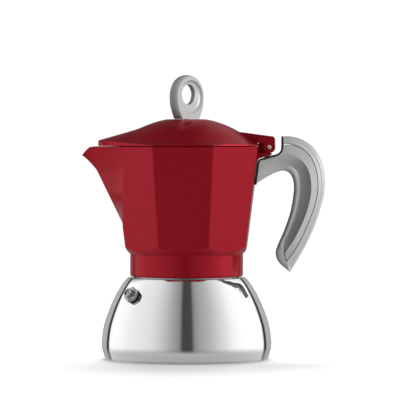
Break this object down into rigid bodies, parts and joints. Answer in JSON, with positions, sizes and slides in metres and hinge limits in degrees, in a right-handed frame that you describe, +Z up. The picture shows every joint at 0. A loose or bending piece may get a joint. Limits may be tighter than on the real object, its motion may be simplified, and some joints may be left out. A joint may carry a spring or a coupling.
{
  "type": "stovetop moka pot",
  "caption": "Stovetop coffee pot: a bell-shaped steel base, an eight-sided red pot with a beak spout, a domed hinged lid with a ring knob, and a hooked grey handle.",
  "frame": {"origin": "on the pot's axis, at the flat underside of the base", "axes": "+Z up, +X towards the handle, -X towards the spout, -Y towards the side with the safety valve"},
  "size_m": [0.1436, 0.1, 0.1669],
  "materials": {
    "polished_steel": "polished stainless steel",
    "cast_aluminium": "fine cast aluminium",
    "pressed_aluminium": "pressed aluminium sheet, satin",
    "valve_steel": "turned steel",
    "valve_brass": "turned brass",
    "seal_rubber": "matte food-grade rubber",
    "red_lacquer": "deep red gloss lacquer on aluminium",
    "pin_steel": "bright steel",
    "screw_steel": "zinc-plated steel",
    "silver_plastic": "satin silver-grey lacquered plastic",
    "black_plastic": "black heat-proof plastic"
  },
  "bodies": {
    "boiler": {"boiler_shell": "polished_steel", "boiler_liner": "cast_aluminium", "valve_body": "valve_steel", "valve_washer": "seal_rubber", "valve_spring": "valve_steel", "valve_retainer": "valve_steel"},
    "valve_plunger": {"valve_plunger": "valve_brass"},
    "funnel": {"funnel": "pressed_aluminium", "funnel_strainer": "pressed_aluminium"},
    "gasket": {"gasket": "seal_rubber"},
    "filter_plate": {"filter_plate": "pressed_aluminium"},
    "collector": {"collector": "red_lacquer", "coffee_column": "cast_aluminium", "handle_grip": "silver_plastic", "handle_cover": "silver_plastic", "handle_insert": "black_plastic", "handle_screw": "screw_steel", "hinge_pin": "pin_steel"},
    "lid": {"lid": "red_lacquer", "knob": "silver_plastic", "knob_screw": "screw_steel", "knob_washer": "screw_steel"}
  },
  "joints": [
    {"name": "collector_lift_off", "type": "slide", "parent": "boiler", "child": "gasket", "axis": [0, 0, 1], "range_m": [0, 0.12]},
    {"name": "screw_rise", "type": "slide", "parent": "gasket", "child": "filter_plate", "axis": [0, 0, 1], "range_m": [0, 0.0045]},
    {"name": "collector_turn", "type": "hinge", "parent": "filter_plate", "child": "collector", "pos_m": [0, 0, 0.0545], "axis": [0, 0, 1], "range_deg": [0, 540]},
    {"name": "lid_hinge", "type": "hinge", "parent": "collector", "child": "lid", "pos_m": [0.0489, 0, 0.1245], "axis": [0, 1, 0], "range_deg": [0, 80]},
    {"name": "funnel_lift", "type": "slide", "parent": "boiler", "child": "funnel", "axis": [0, 0, 1], "range_m": [0, 0.055]},
    {"name": "valve_push", "type": "slide", "parent": "boiler", "child": "valve_plunger", "axis": [-0.6184, -0.6184, 0.4848], "range_m": [0, 0.001], "stiffness_N_per_m": 300, "springref_m": -0.002}
  ],
  "couplings": [
    {"joint": "screw_rise", "follows": "collector_turn", "m_per_rad": 0.000477},
    {"joint": "funnel_lift", "follows": "collector_lift_off", "ratio": 0.458}
  ]
}
